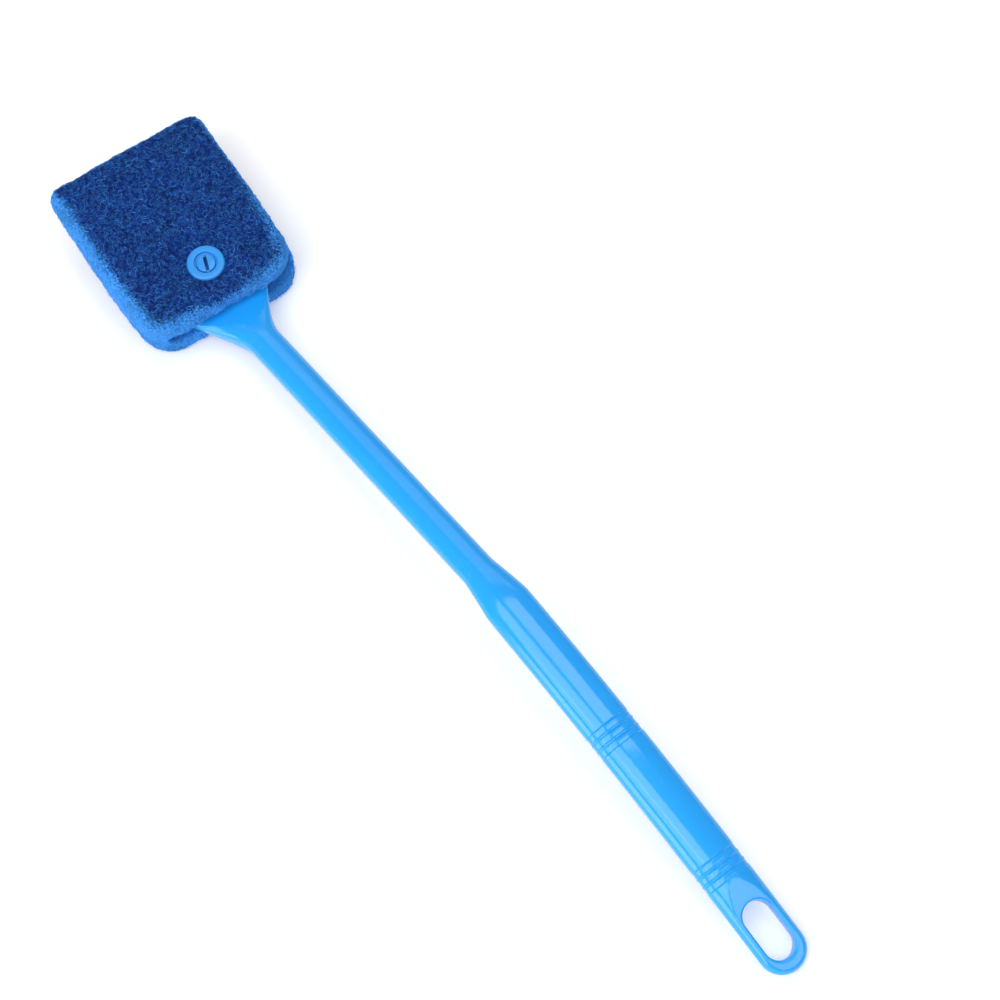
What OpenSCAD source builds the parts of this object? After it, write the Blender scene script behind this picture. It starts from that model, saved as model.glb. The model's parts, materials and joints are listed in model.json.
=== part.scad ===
/* [Paddle] */
// Length of the paddle ahead of the stud
paddle_reach = 48; // [42:1:50]
// Width of the paddle under the pad
paddle_w = 46; // [40:1:48]
// Radius of the paddle's front corners
paddle_corner_r = 8; // [5:1:12]
// Height of the paddle's front face above its middle plane
paddle_top = 3.2; // [2.8:0.1:3.6]
// Depth of the rim below the middle plane at the paddle's tip
tip_back = 1.8; // [1.4:0.1:2.4]

/* [Shaft] */
// Distance from the stud to the start of the neck bend
neck_at = 18; // [16:1:22]
// Distance from the stud to where the paddle starts to narrow
flare_start = 2; // [-4:1:6]
// Distance from the stud to where the flare has narrowed to the shaft
flare_end = 42; // [38:1:50]
// Width of the shaft
shaft_w = 14.2; // [12:0.1:16]
// Height of the shaft's crown above its centre line
shaft_top = 5; // [4.5:0.1:5.5]
// Angle at which the shaft climbs away from the paddle
shaft_rise = 15.7; // [8:0.1:20]
// Length of the shaft after the neck bend
shaft_len = 156; // [120:1:200]

/* [Grip] */
// Width of the grip
grip_w = 19.5; // [18:0.1:22]
// Height of the grip's crown above its centre line
grip_top = 6; // [5.5:0.1:6.5]
// Length of the sloping shoulder between shaft and grip
shoulder_len = 18; // [12:1:24]
// Angle by which the handle bends back at the shoulder
shoulder_turn = 12; // [6:0.1:14]
// Length of the grip from the shoulder to the tail
grip_len = 175; // [173:1:190]
// Angle through which the grip curves over its length
grip_turn = 15; // [5:0.5:18]
// Distance from the shoulder to the first group of finger rings
first_rings = 61; // [40:1:80]
// Distance from the shoulder to the second group of finger rings
second_rings = 124; // [110:1:125]
// Length of one recessed band
band_len = 2.6; // [2:0.1:2.8]
// Width of the ridge between two bands
ridge_len = 0.9; // [0.6:0.1:1.1]
// Depth of a recessed band
band_depth = 0.5; // [0.3:0.1:0.8]

/* [Hanging loop] */
// Length of the hanging hole
hang_len = 24.6; // [20:0.1:26]
// Width of the hanging hole
hang_w = 12.6; // [10:0.1:13]
// Material left between the hanging hole and the tail
hang_end = 5.7; // [5:0.1:6.5]
// Thickness of the loop at the tail
tail_thick = 6; // [5:0.5:8]

/* [Moulding] */
// Thickness of the side walls
wall = 2.1; // [1.6:0.1:2.4]
// Thickness of the front wall
front_wall = 2.2; // [1.8:0.1:2.5]
// Depth of the rim below the centre line of shaft and grip
rim_back = 4.9; // [4.5:0.1:5.5]
// Thickness of the cross rib at the shoulder
rib_t = 1.8; // [1.4:0.1:2.4]

/* [Pad] */
// Length of the folded pad
pad_len = 87; // [84:1:96]
// Width of the pad
pad_w = 72; // [66:1:76]
// Distance by which the pad sits off the stud's centre line
pad_shift = -2.7; // [-4:0.1:4]
// Distance from the stud to the pad's open end
pad_open_at = 19.5; // [17:0.5:22]
// Thickness of the pad at the fold
fold_thick = 14; // [12:0.5:16]
// Thickness of the pad at its open end
open_thick = 29; // [27:0.5:32]
// Radius of the two corners at the open end
open_corner_r = 13; // [8:1:15]
// Radius of the two corners at the fold
fold_corner_r = 4; // [3:0.5:6]
// Angle by which the pad sits turned on its stud
pad_turn = -4.5; // [-8:0.5:8]

/* [Stud and collar] */
// Diameter of the stud's shank
shank_d = 8; // [7:0.1:9]
// Diameter of the stud's flat head
head_d = 13.6; // [12:0.1:15]
// Thickness of the stud's flat head
head_t = 1.6; // [1.2:0.1:2]
// Outer diameter of the collar
collar_d = 16; // [14:0.1:18]
// Thickness of the collar
collar_t = 2.4; // [2:0.1:3]
// Diameter of the recess around the stud's tip
collar_recess_d = 9.8; // [9.2:0.1:11]
// Width of the slot that splits the stud's tip
split_w = 1.4; // [1:0.1:1.8]
// Direction of the slot, turned from the handle's length
split_turn = -23; // [-90:1:90]

/* [Hidden] */

eps = 0.01;
plastic_blue = "deepskyblue";
button_blue = "steelblue";
pad_blue = "midnightblue";

// Radial room of the stud in the handle, of the collar on the stud and of the pad around the stud
handle_fit = 0.15;
collar_fit = 0.08;
pad_fit = 0.6;
// Room between the pad and the pieces that it touches in use
soft_gap = 0.4;

// Centre line: straight runs and arcs as [length, turn in degrees], from the paddle's tip
neck_len = 16;
neck_turn = shaft_rise;
runs = [
  [paddle_reach + neck_at, 0],
  [neck_len, neck_turn],
  [shaft_len, 0],
  [shoulder_len, -shoulder_turn],
  [grip_len, -grip_turn]
];

// Places along the centre line, measured from the stud
shoulder_start = neck_at + neck_len + shaft_len;
shoulder_end = shoulder_start + shoulder_len;
tail_at = shoulder_end + grip_len;
hang_to = tail_at - hang_end;
hang_from = hang_to - hang_len;
channel_end = hang_from - 3.6;
rib_at = shoulder_end - rib_t - 0.6;
ring_pitch = band_len + ridge_len;
ring_len = 3 * band_len + 2 * ridge_len;
rings_end = shoulder_end + second_rings + ring_len;
tail_r = grip_w / 2;
tail_fall = 0.8;

// Step in the channel's floor at the neck
ramp_at = neck_at + 9;
ramp_len = 2.5;
ramp_rise = 1.2;

// Channel: its end wall at the tip, its lowered rib, its floor's share of its width and its corners
end_wall = 2;
rib_drop = 0.9;
floor_share = 0.74;
side_share = 0.94;
channel_r = 2;
// Taper of the rim's outer edge
rim_tuck = 0.6;

// Length over which a sharp step is drawn, and the first place after a rounded end
edge_len = 0.25;
first_step = 0.2;
round_steps = 7;
// Height of the cutters that go right through the handle
through = 30;
// Overshoot of the cutters that are open at one end
over = 5;

// One arc step of the centre line: [x, z, angle] after a length l that turns by t
function stepped(p, t, l) =
  let (half = t / 2, k = abs(t) < eps ? 1 : sin(half) / (half * PI / 180))
  [p[0] + l * k * cos(p[2] + half), p[1] + l * k * sin(p[2] + half), p[2] + t];

function along(s, i = 0, p = [-paddle_reach, 0, 0]) =
  s <= runs[i][0] || i == len(runs) - 1
    ? stepped(p, runs[i][1] * s / runs[i][0], s)
    : along(s - runs[i][0], i + 1, stepped(p, runs[i][1], runs[i][0]));

// Smooth and straight changes from a to b between the places u0 and u1
function share(u, u0, u1) = min(1, max(0, (u - u0) / (u1 - u0)));
function smooth(u, u0, u1, a, b) = let (t = share(u, u0, u1)) a + (b - a) * t * t * (3 - 2 * t);
function straight(u, u0, u1, a, b) = a + (b - a) * share(u, u0, u1);
// Half width lost to a round corner of radius r, at a distance d from its end
function corner_loss(d, r) = d >= r ? 0 : r - sqrt(max(0, r * r - (r - d) * (r - d)));

function in_band(u, group) =
  let (v = u - shoulder_end - group)
  len([for (k = [0:2]) if (v > k * ring_pitch && v < k * ring_pitch + band_len) k]) > 0;
function band_cut(u) = in_band(u, first_rings) || in_band(u, second_rings) ? band_depth : 0;

function half_w(u) =
  smooth(u, flare_start, flare_end, paddle_w, shaft_w) / 2
  + straight(u, shoulder_start, shoulder_end, 0, grip_w - shaft_w) / 2
  - corner_loss(u + paddle_reach, paddle_corner_r)
  - corner_loss(tail_at - u, tail_r)
  - band_cut(u);
function crown(u) =
  smooth(u, neck_at, flare_end, paddle_top, shaft_top)
  + straight(u, shoulder_start, shoulder_end, 0, grip_top - shaft_top)
  - smooth(u, rings_end, hang_from, 0, grip_top - tail_thick / 2 - tail_fall)
  - straight(u, hang_from, tail_at, 0, tail_fall)
  - band_cut(u);
function back(u) =
  smooth(u, -paddle_reach, neck_at, tip_back, rim_back - 1)
  + smooth(u, neck_at, flare_end, 0, 1)
  - straight(u, rings_end, tail_at, 0, rim_back - tail_thick / 2);
// Shape of the crown: 2 is round, higher is flatter with rounder edges
function squareness(u) =
  smooth(u, neck_at - 6, flare_end, 5, 2) + smooth(u, rings_end, hang_from, 0, 1.6);

function is_open(u) =
  u > -paddle_reach + end_wall && u < channel_end && !(u > rib_at && u < rib_at + rib_t);
function is_rib(u) = u >= rib_at && u <= rib_at + rib_t;
function ceiling(u) =
  is_open(u) ? crown(u) - front_wall - smooth(u, ramp_at, ramp_at + ramp_len, 0, ramp_rise)
  : is_rib(u) ? rib_drop - back(u)
  : -back(u);

function power(v, e) = sign(v) * pow(abs(v), 2 / e);
function outer_line(u) =
  let (w = half_w(u), h = crown(u), e = squareness(u))
  concat(
    [[w - min(rim_tuck, w / 4), -back(u)]],
    [for (t = [0:15:180]) [w * power(cos(t), e), h * power(sin(t), e)]],
    [[-w + min(rim_tuck, w / 4), -back(u)]]
  );
function inner_line(u) =
  let (
    w = max(half_w(u) - wall - rim_tuck / 2, half_w(u) / 2),
    deep = ceiling(u) + back(u),
    r = min(channel_r, deep / 2),
    b = -back(u)
  )
  [[-w, b], [-side_share * w, b + deep - r], [-floor_share * w, b + deep],
    [floor_share * w, b + deep], [side_share * w, b + deep - r], [w, b]];

// One closed ring of points around the section at u, set square to the centre line
function ring(u) =
  let (c = along(u + paddle_reach))
  [for (q = concat(outer_line(u), inner_line(u)))
    [c[0] - q[1] * sin(c[2]), q[0], c[1] + q[1] * cos(c[2])]];

// Both sides of a sharp step at u
function edge(u) = [u - edge_len / 2, u + edge_len / 2];
function round_from(u, r) = [for (k = [0:round_steps]) u + r * (1 - cos(90 * k / round_steps))];
function round_to(u, r) = [for (k = [round_steps:-1:0]) u - r * (1 - cos(90 * k / round_steps))];
function band_edges(group) =
  [for (k = [0:2])
    for (v = [0, band_len])
      each edge(shoulder_end + group + k * ring_pitch + v)];

// Places n apart evenly, between a and b
function spread(a, b, n) = [for (k = [1:n]) a + (b - a) * k / (n + 1)];
// Those of the places that lie between a and b
function within(places, a, b) = [for (u = places) if (u > a && u < b) u];

tip_at = -paddle_reach;
tip_rounding = round_from(tip_at, paddle_corner_r);
tail_rounding = round_to(tail_at, tail_r);
flared_at = flare_end + 2;

// Places of the sections, from the paddle's tip to the tail
stations = concat(
  [tip_at + first_step],
  within(tip_rounding, tip_at + 2 * first_step, tip_at + end_wall - 2 * first_step),
  edge(tip_at + end_wall),
  within(tip_rounding, tip_at + end_wall + 2 * first_step, 0),
  spread(tip_at + paddle_corner_r, flare_start, 3),
  [flare_start],
  spread(flare_start, ramp_at, 6),
  edge(ramp_at),
  [ramp_at + ramp_len],
  spread(ramp_at + ramp_len, flared_at, 3),
  [flared_at],
  spread(flared_at, shoulder_start, 3),
  [shoulder_start],
  spread(shoulder_start, rib_at, 1),
  edge(rib_at),
  edge(rib_at + rib_t),
  [shoulder_end],
  spread(shoulder_end, shoulder_end + first_rings, 3),
  band_edges(first_rings),
  spread(shoulder_end + first_rings + ring_len, shoulder_end + second_rings, 3),
  band_edges(second_rings),
  edge(channel_end),
  spread(channel_end + edge_len, tail_at - tail_r, 4),
  within(tail_rounding, 0, tail_at - 2 * first_step),
  [tail_at - first_step / 2]
);

rings = [for (u = stations) ring(u)];
ring_n = len(rings[0]);
// Point of each ring at the middle of its crown, from which the end caps fan out
crown_middle = 7;

module handle_shell() {
  last = (len(rings) - 1) * ring_n;
  points = [for (r = rings) each r];
  sides = [
    for (i = [0:len(rings) - 2])
      for (k = [0:ring_n - 1])
        let (a = i * ring_n + k, b = i * ring_n + (k + 1) % ring_n)
        each [[a, a + ring_n, b], [b, a + ring_n, b + ring_n]]
  ];
  first_cap = [[for (k = [0:ring_n - 1]) (k + crown_middle) % ring_n]];
  last_cap = [[for (k = [ring_n:-1:1]) last + (k + crown_middle) % ring_n]];
  polyhedron(points = points, faces = concat(first_cap, sides, last_cap));
}

module at(u) {
  c = along(u + paddle_reach);
  translate([c[0], 0, c[1]]) rotate([0, -c[2], 0]) children();
}

module hanging_hole() {
  r = hang_w / 2;
  reach = (hang_len - hang_w) / 2;
  at(hang_from + hang_len / 2) {
    for (side = [-1, 1])
      translate([side * reach, 0, 0]) cylinder(r = r, h = through, center = true, $fn = 64);
    cube([2 * reach, hang_w, through], center = true);
  }
}

// Folded pad seen from the side: two round edges and the fold, joined by straight faces
fold_at = pad_open_at - pad_len;
leaf_half = open_thick / 2;
fold_half = fold_thick / 2;
leaf_edge_r = 4;
leaf_run = pad_open_at - leaf_edge_r - fold_at - fold_half;
leaf_climb = leaf_half - leaf_edge_r;
pad_slope = atan2(leaf_climb, leaf_run) + asin((leaf_edge_r - fold_half) / norm([leaf_run, leaf_climb]));

// Pocket that the paddle fills, and the slit between the leaves at its sides
pocket_front = tip_at - 5;
slit_front = pocket_front - 2;
pocket_half_w = 29.5;
pocket_top = paddle_top + soft_gap;
pocket_tip_half = 3.7;
pocket_back = rim_back - 1 + soft_gap + 0.5;
pocket_open_rise = 0.9;
slit_half = 1.1;
slit_end_half = 0.15;
// Width that takes in the pad wherever it is shifted to
pad_room = pad_w + 2 * abs(pad_shift) + over;

// Seats of the collar and of the stud's head, sunk below the pad's faces
collar_under = 9.3;
collar_top = collar_under + collar_t;
head_under = 9.6;
tip_top = collar_top - 0.5;

function arc(cx, cz, r, from, to) =
  [for (k = [0:round_steps]) let (t = from + (to - from) * k / round_steps)
    [cx + r * cos(t), cz + r * sin(t)]];

// Outline of the folded pad seen from the side, without its pocket
module pad_side() {
  r = leaf_edge_r;
  polygon(concat(
    arc(pad_open_at - r, leaf_climb, r, 0, 90 + pad_slope),
    arc(fold_at + fold_half, 0, fold_half, 90 + pad_slope, 270 - pad_slope),
    arc(pad_open_at - r, -leaf_climb, r, 270 - pad_slope, 360)
  ));
}

module pad_plan() {
  rn = open_corner_r;
  rf = fold_corner_r;
  half = pad_w / 2;
  translate([fold_at, rf - half]) square([pad_len - rn, pad_w - 2 * rf]);
  translate([fold_at + rf, -half]) square([pad_len - rf - rn, pad_w]);
  translate([pad_open_at - rn - eps, rn - half]) square([rn + eps, pad_w - 2 * rn]);
  for (side = [-1, 1]) {
    translate([pad_open_at - rn, side * (half - rn)]) circle(r = rn, $fn = 64);
    translate([fold_at + rf, side * (half - rf)]) circle(r = rf, $fn = 48);
  }
}

// Room for the paddle between the leaves, and the thin gap where the leaves lie on each other
module pocket() {
  rotate([90, 0, 0]) {
    linear_extrude(2 * pocket_half_w, center = true)
      polygon([
        [pocket_front, pocket_tip_half], [pad_open_at + over, pocket_top + pocket_open_rise],
        [pad_open_at + over, -pocket_back], [pocket_front, -tip_back - soft_gap]
      ]);
    linear_extrude(pad_room, center = true)
      polygon([
        [slit_front, slit_end_half], [pad_open_at + over, slit_half],
        [pad_open_at + over, -slit_half], [slit_front, -slit_end_half]
      ]);
  }
}

module pad_solid() {
  difference() {
    intersection() {
      rotate([90, 0, 0]) linear_extrude(pad_room, center = true) pad_side();
      translate([0, pad_shift, 0]) linear_extrude(open_thick + over, center = true) pad_plan();
    }
    pocket();
    cylinder(d = shank_d + 2 * pad_fit, h = open_thick + over, center = true, $fn = 64);
    translate([0, 0, collar_under - soft_gap])
      cylinder(d = collar_d + 2 * pad_fit, h = leaf_half, $fn = 64);
    mirror([0, 0, 1]) translate([0, 0, head_under - soft_gap])
      cylinder(d = head_d + 2 * pad_fit, h = leaf_half, $fn = 64);
  }
}

// Lying pose: the open end of the pad's back leaf and the tail's back edge touch the ground.
// Its fibre flattens where it lies, so the ground stands ground_flat above the leaf's round edge.
ground_flat = 0.5;
tail_point = along(tail_at - tip_at);
tail_low = [
  tail_point[0] + back(tail_at) * sin(tail_point[2]),
  tail_point[1] - back(tail_at) * cos(tail_point[2])
];
leaf_low = [pad_open_at - leaf_edge_r, leaf_edge_r - leaf_half];
span = tail_low - leaf_low;
lie_angle = atan2(span[1], span[0]) + asin((leaf_edge_r - ground_flat) / norm(span));
ground_z = leaf_low[1] * cos(lie_angle) - leaf_low[0] * sin(lie_angle) - leaf_edge_r + ground_flat;
length_from = fold_at * cos(lie_angle);
length_to = tail_point[0] * cos(lie_angle) + tail_point[1] * sin(lie_angle);
middle_x = (length_from + length_to) / 2;

module lie_down() {
  translate([-middle_x, 0, -ground_z]) rotate([0, lie_angle, 0]) children();
}

module handle() {
  color(plastic_blue) lie_down() difference() {
    handle_shell();
    cylinder(d = shank_d + 2 * handle_fit, h = through, center = true, $fn = 64);
    hanging_hole();
  }
}

module scrub_pad() {
  color(pad_blue) difference() {
    lie_down() rotate([0, 0, pad_turn]) pad_solid();
    translate([-middle_x, 0, -over]) cube([2 * pad_len, 2 * pad_w, 2 * over], center = true);
  }
}

module stud() {
  lead = 0.6;
  split_deep = 8;
  r = shank_d / 2;
  rh = head_d / 2;
  color(button_blue) lie_down() difference() {
    rotate_extrude($fn = 96)
      polygon(concat(
        [[0, -head_under - head_t], [rh - lead, -head_under - head_t]],
        arc(rh - lead, -head_under - head_t + lead, lead, -90, 0),
        [[rh, -head_under], [r, -head_under], [r, tip_top - lead], [r - lead, tip_top], [0, tip_top]]
      ));
    rotate([0, 0, split_turn])
      translate([0, 0, tip_top])
        cube([2 * shank_d, split_w, 2 * split_deep], center = true);
  }
}

module collar() {
  bore_r = shank_d / 2 + collar_fit;
  recess_r = collar_recess_d / 2;
  recess_deep = 0.9;
  r = collar_d / 2;
  edge_r = 0.8;
  color(button_blue) lie_down() rotate_extrude($fn = 96)
    polygon(concat(
      [[bore_r, collar_under], [r, collar_under]],
      arc(r - edge_r, collar_top - edge_r, edge_r, 0, 90),
      [[recess_r, collar_top], [recess_r, collar_top - recess_deep], [bore_r, collar_top - recess_deep]]
    ));
}

handle();
scrub_pad();
stud();
collar();
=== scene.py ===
"""A long-handled algae scraper, lying front up: moulded handle, folded fibre pad, snap stud and collar."""
import json
import math
import random

import bmesh
import bpy
import numpy as np
from mathutils import Matrix, Vector

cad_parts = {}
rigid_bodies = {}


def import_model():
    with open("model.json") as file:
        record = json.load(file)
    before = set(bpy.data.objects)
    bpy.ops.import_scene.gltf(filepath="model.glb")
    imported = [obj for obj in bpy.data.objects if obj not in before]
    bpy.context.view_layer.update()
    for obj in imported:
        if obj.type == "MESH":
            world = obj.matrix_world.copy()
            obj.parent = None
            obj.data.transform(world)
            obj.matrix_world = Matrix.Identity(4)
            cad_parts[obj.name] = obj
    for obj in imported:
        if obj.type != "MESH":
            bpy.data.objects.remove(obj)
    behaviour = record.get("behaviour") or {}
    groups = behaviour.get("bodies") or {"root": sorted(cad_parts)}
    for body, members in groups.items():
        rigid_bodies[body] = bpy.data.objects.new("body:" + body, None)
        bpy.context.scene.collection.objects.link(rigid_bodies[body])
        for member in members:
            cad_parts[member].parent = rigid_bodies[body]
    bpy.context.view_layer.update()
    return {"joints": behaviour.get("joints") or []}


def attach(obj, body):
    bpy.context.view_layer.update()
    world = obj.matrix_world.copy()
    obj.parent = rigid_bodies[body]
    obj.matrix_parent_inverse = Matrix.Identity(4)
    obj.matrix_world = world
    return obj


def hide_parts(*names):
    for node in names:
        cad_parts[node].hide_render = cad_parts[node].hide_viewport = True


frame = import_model()

# Places along the handle's centre line, measured from the stud, in metres
TIP_AT = -0.048
FLARE = (0.002, 0.042)
NECK_AT = 0.018
SHOULDER = (0.190, 0.208)
FIRST_RINGS = 0.269
SECOND_RINGS = 0.332
RINGS_END = 0.3416
CHANNEL_END = 0.3491
HOLE = (0.3527, 0.3773)
TAIL_AT = 0.383
RIB = (0.2056, 0.2074)
RAMP = (0.027, 0.0295)
TAIL_FROM = 0.3506

# Runs of the centre line, from the paddle's tip: length and turn in degrees
RUNS = [(0.066, 0), (0.016, 15.7), (0.156, 0), (0.018, -12), (0.175, -15)]

PADDLE_W, SHAFT_W, GRIP_W = 0.046, 0.0142, 0.0195
PADDLE_TOP, SHAFT_TOP, GRIP_TOP = 0.0032, 0.005, 0.006
TIP_BACK, NECK_BACK, RIM_BACK, TAIL_BACK = 0.0018, 0.0039, 0.0049, 0.003
PADDLE_CORNER = 0.008
HOLE_W = 0.0126
WALL, FRONT_WALL = 0.0021, 0.0022
BAND_LEN, BAND_PITCH, BAND_DEPTH = 0.0026, 0.0035, 0.0006
BAND_HOLLOW, BAND_AT_SIDE = 0.1, 0.35
RIM_ROUND, RIM_TUCK, INNER_ROUND, FLOOR_ROUND = 0.0005, 0.0006, 0.0004, 0.0016
FACET_DROP, FACET_BLEND, FACET_LEAD, FACET_FALL = 0.0022, 0.0003, 0.0002, 0.0008
RAMP_RISE, RIB_EDGE, RIB_SUNK = 0.0012, 0.0003, 0.0009
LIP = 0.0009
STUD_HOLE_R = 0.00415

# Ejector marks in the channel, and the notches along the grip's lower edges
PIN_MARKS, PIN_MARK_R, PIN_MARK_DEEP = (0.110, 0.194, 0.217, 0.285), 0.003, 0.00015
NOTCHES, NOTCH_FROM, NOTCH_PITCH, NOTCH_R, NOTCH_LEN = 22, 0.0022, 0.0032, 0.0008, 0.0016

# Steps from one side of a section to the other: over the crown, or through the channel
CROWN_STEPS = 44

# Stud and collar
SHANK_R, HEAD_R, HEAD_T, HEAD_UNDER = 0.004, 0.0068, 0.0016, 0.0096
COLLAR_R, COLLAR_T, COLLAR_UNDER, RECESS_R, RECESS_DEEP = 0.008, 0.0024, 0.0093, 0.0049, 0.0014
TIP_TOP = COLLAR_UNDER + COLLAR_T - 0.0006
SLOT_LEN, SLOT_W, SLOT_DEEP, SLOT_TURN = 0.0062, 0.0015, 0.0045, math.radians(-23)

# Folded pad, in its own frame round the stud
PAD_TURN = math.radians(-4.5)
PAD_SHIFT = -0.0027
PAD_OPEN, PAD_FOLD = 0.0195, -0.0675
PAD_HALF_W = 0.036
PAD_OPEN_HALF, PAD_FOLD_HALF = 0.0145, 0.007
TURN_AT = PAD_FOLD + PAD_FOLD_HALF
BACK_LEAF_MORE, BACK_LEAF_SKEW, BACK_LEAF_SHIFT = -0.0002, 0.04, 0.0012
OUTER_EDGE, INNER_EDGE, OPEN_CORNER, FOLD_CORNER = 0.004, 0.0012, 0.013, 0.0032
SIDE_BULGE, SIDE_TUCK, FOLD_WIDER = 0.0008, 0.0019, 0.0011
DIMPLE, DIMPLE_FROM, DIMPLE_TO = 0.0024, 0.0080, 0.0185
POCKET_HALF_W, POCKET_AT, POCKET_BLEND = 0.0295, -0.053, 0.003
LEAF_GAP = (0.00012, 0.0004)
POCKET_FRONT, POCKET_BACK = (0.0037, 0.0044), (0.0021, 0.0047)
SEAT_ROOM, COLLAR_ROOM = 0.0006, 0.00012
PAD_STEP = 0.0016

# Closed end of a leaf: share of the way to the middle, and how far it stands out
LEAF_END = ((0.35, 0.0005), (0.7, 0.0008), (1.0, 0.0009))

# Cloth swelling of the pad: its frames, the most it may move, and what is held
SWELL_FRAMES, SWELL = 20, 0.0011
HELD_INSIDE, HELD_ROUND_STUD, HELD_LYING = 0.45, 0.012, 0.02

# Felt: name, size, depth and height of each layer of lumps
FELT_LAYERS = (("uneven", 0.016, 1, 0.0011), ("lumps", 0.004, 2, 0.0008), ("matted", 0.0010, 3, 0.0009))
FLOOR_GAP, PRESS, PRESSED_SHARE = 0.0001, 0.002, 0.15
FIBRES_PER_M2, STRAND_KINDS = 520000, 9

# Camera and light
CAMERA_AT, LENS = (0.4077, -0.2063, 0.9610), 95.48
CAMERA_RIGHT, CAMERA_UP = (0.61117, 0.78901, -0.06271), (-0.69352, 0.57201, 0.43799)
CAMERA_BACK = (0.38145, -0.22420, 0.89679)
ROOM_LIGHT, FLOOR_GLOW = 0.35, 0.2

joint = {j["name"]: j for j in frame["joints"]}
STUD = Vector(joint["pad_swivel"]["pos_m"])
OUT = Vector(joint["pad_swivel"]["axis"]).normalized()
LIE_ANGLE = math.atan2(OUT.x, OUT.z)
LIE = Matrix.Rotation(LIE_ANGLE, 3, "Y")


def lie(x, y, z):
    """A point given round the stud, x along the paddle and z out of its front, where it lies."""
    return STUD + LIE @ Vector((x, y, z))


def share(u, a, b):
    """How far u is on the way from a to b, kept between 0 and 1."""
    return min(1.0, max(0.0, (u - a) / (b - a)))


def smooth(u, a, b, low=0.0, high=1.0):
    """An eased change from low to high as u goes from a to b."""
    t = share(u, a, b)
    return low + (high - low) * t * t * (3 - 2 * t)


def ramp(u, a, b, soft=0.14):
    """A straight change from 0 to 1 whose two ends are eased."""
    t = (u - a) / (b - a)
    if t < soft:
        return max(0.0, t + soft) ** 2 / (4 * soft)
    if t > 1 - soft:
        return 1 - max(0.0, 1 + soft - t) ** 2 / (4 * soft)
    return t


def power(value, e):
    """A sine or cosine bent so that a circle becomes a squarer oval."""
    return math.copysign(abs(value) ** (2 / e), value)


def lerp(a, b, t):
    return tuple(p + (q - p) * t for p, q in zip(a, b))


def corner_loss(d, r):
    """Half width that a round corner of radius r takes, at a distance d from its end."""
    return 0.0 if d >= r else r - math.sqrt(max(0.0, r * r - (r - d) ** 2))


def along(s):
    """Centre line at a length s from the tip: x, z and direction."""
    x, z, turn = TIP_AT, 0.0, 0.0
    for length, bend in RUNS:
        step = min(s, length) if (length, bend) != RUNS[-1] else s
        part = math.radians(bend) * step / length
        chord = step if abs(part) < 1e-6 else step * math.sin(part / 2) / (part / 2)
        x += chord * math.cos(turn + part / 2)
        z += chord * math.sin(turn + part / 2)
        turn += part
        s -= step
        if s <= 0:
            break
    return x, z, turn


def on_handle(u, y, z):
    """A point z above the centre line and y beside it, at the place u along the handle."""
    x, height, turn = along(u - TIP_AT)
    return lie(x - z * math.sin(turn), y, height + z * math.cos(turn))


def band_cut(u):
    """How deep the finger rings' grooves are at the place u."""
    cut = 0.0
    for start, edge in ((FIRST_RINGS, 0.0003), (SECOND_RINGS, 0.0004)):
        for k in range(3):
            a = start + k * BAND_PITCH
            b = a + BAND_LEN
            cut += smooth(u, a - edge, a + edge) - smooth(u, b - edge, b + edge)
            cut += BAND_HOLLOW * math.sin(math.pi * share(u, a, b))
    return cut * BAND_DEPTH


def half_width(u):
    flare = smooth(u, *FLARE, PADDLE_W, SHAFT_W) / 2
    grip = ramp(u, *SHOULDER) * (GRIP_W - SHAFT_W) / 2
    return flare + grip - corner_loss(u - TIP_AT, PADDLE_CORNER) - BAND_AT_SIDE * band_cut(u)


def crown(u):
    neck = smooth(u, NECK_AT, FLARE[1], PADDLE_TOP, SHAFT_TOP)
    return neck + ramp(u, *SHOULDER) * (GRIP_TOP - SHAFT_TOP) - band_cut(u)


def back(u):
    neck = smooth(u, TIP_AT, NECK_AT, TIP_BACK, NECK_BACK)
    rim = smooth(u, NECK_AT, FLARE[1], 0, RIM_BACK - NECK_BACK)
    return neck + rim - (RIM_BACK - TAIL_BACK) * share(u, RINGS_END, TAIL_AT)


def facet(u):
    """Height of the flat that is sloped into the crown ahead of the hanging hole."""
    if u < RINGS_END:
        return 1.0
    slope = GRIP_TOP + FACET_LEAD - FACET_DROP * share(u, RINGS_END, HOLE[0] + 0.001)
    return slope - FACET_FALL * share(u, HOLE[0], TAIL_AT)


def clipped(z, u):
    """The lower of the crown and the facet, with a soft edge where they meet."""
    flat = facet(u)
    near = max(FACET_BLEND - abs(z - flat), 0) / FACET_BLEND
    return min(z, flat) - near * near * FACET_BLEND / 4


def ceiling(u):
    """Height of the channel's floor, which is the underside of the front wall."""
    return crown(u) + band_cut(u) - FRONT_WALL - smooth(u, *RAMP, 0, RAMP_RISE)


def crown_line(u):
    """The front of a section from side to side: squarer at the paddle, round on the shaft and grip."""
    w, top = half_width(u), crown(u)
    e = smooth(u, NECK_AT - 0.006, FLARE[1], 5, 2)
    angles = [math.pi * k / CROWN_STEPS for k in range(CROWN_STEPS + 1)]
    return [(w * power(math.cos(t), e), clipped(top * power(math.sin(t), e), u)) for t in angles]


def wall_line(u):
    """The side from below the crown's edge round to the flat of the rim: inset and height."""
    deep = back(u)
    line = [(RIM_TUCK * s, -(deep - RIM_ROUND) * s) for s in (0.25, 0.5, 0.75, 1)]
    for k in range(1, 6):
        a = math.radians(18 * k)
        inset = RIM_TUCK + RIM_ROUND * (1 - math.cos(a))
        line.append((inset, -deep + RIM_ROUND * (1 - math.sin(a))))
    return line


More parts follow.
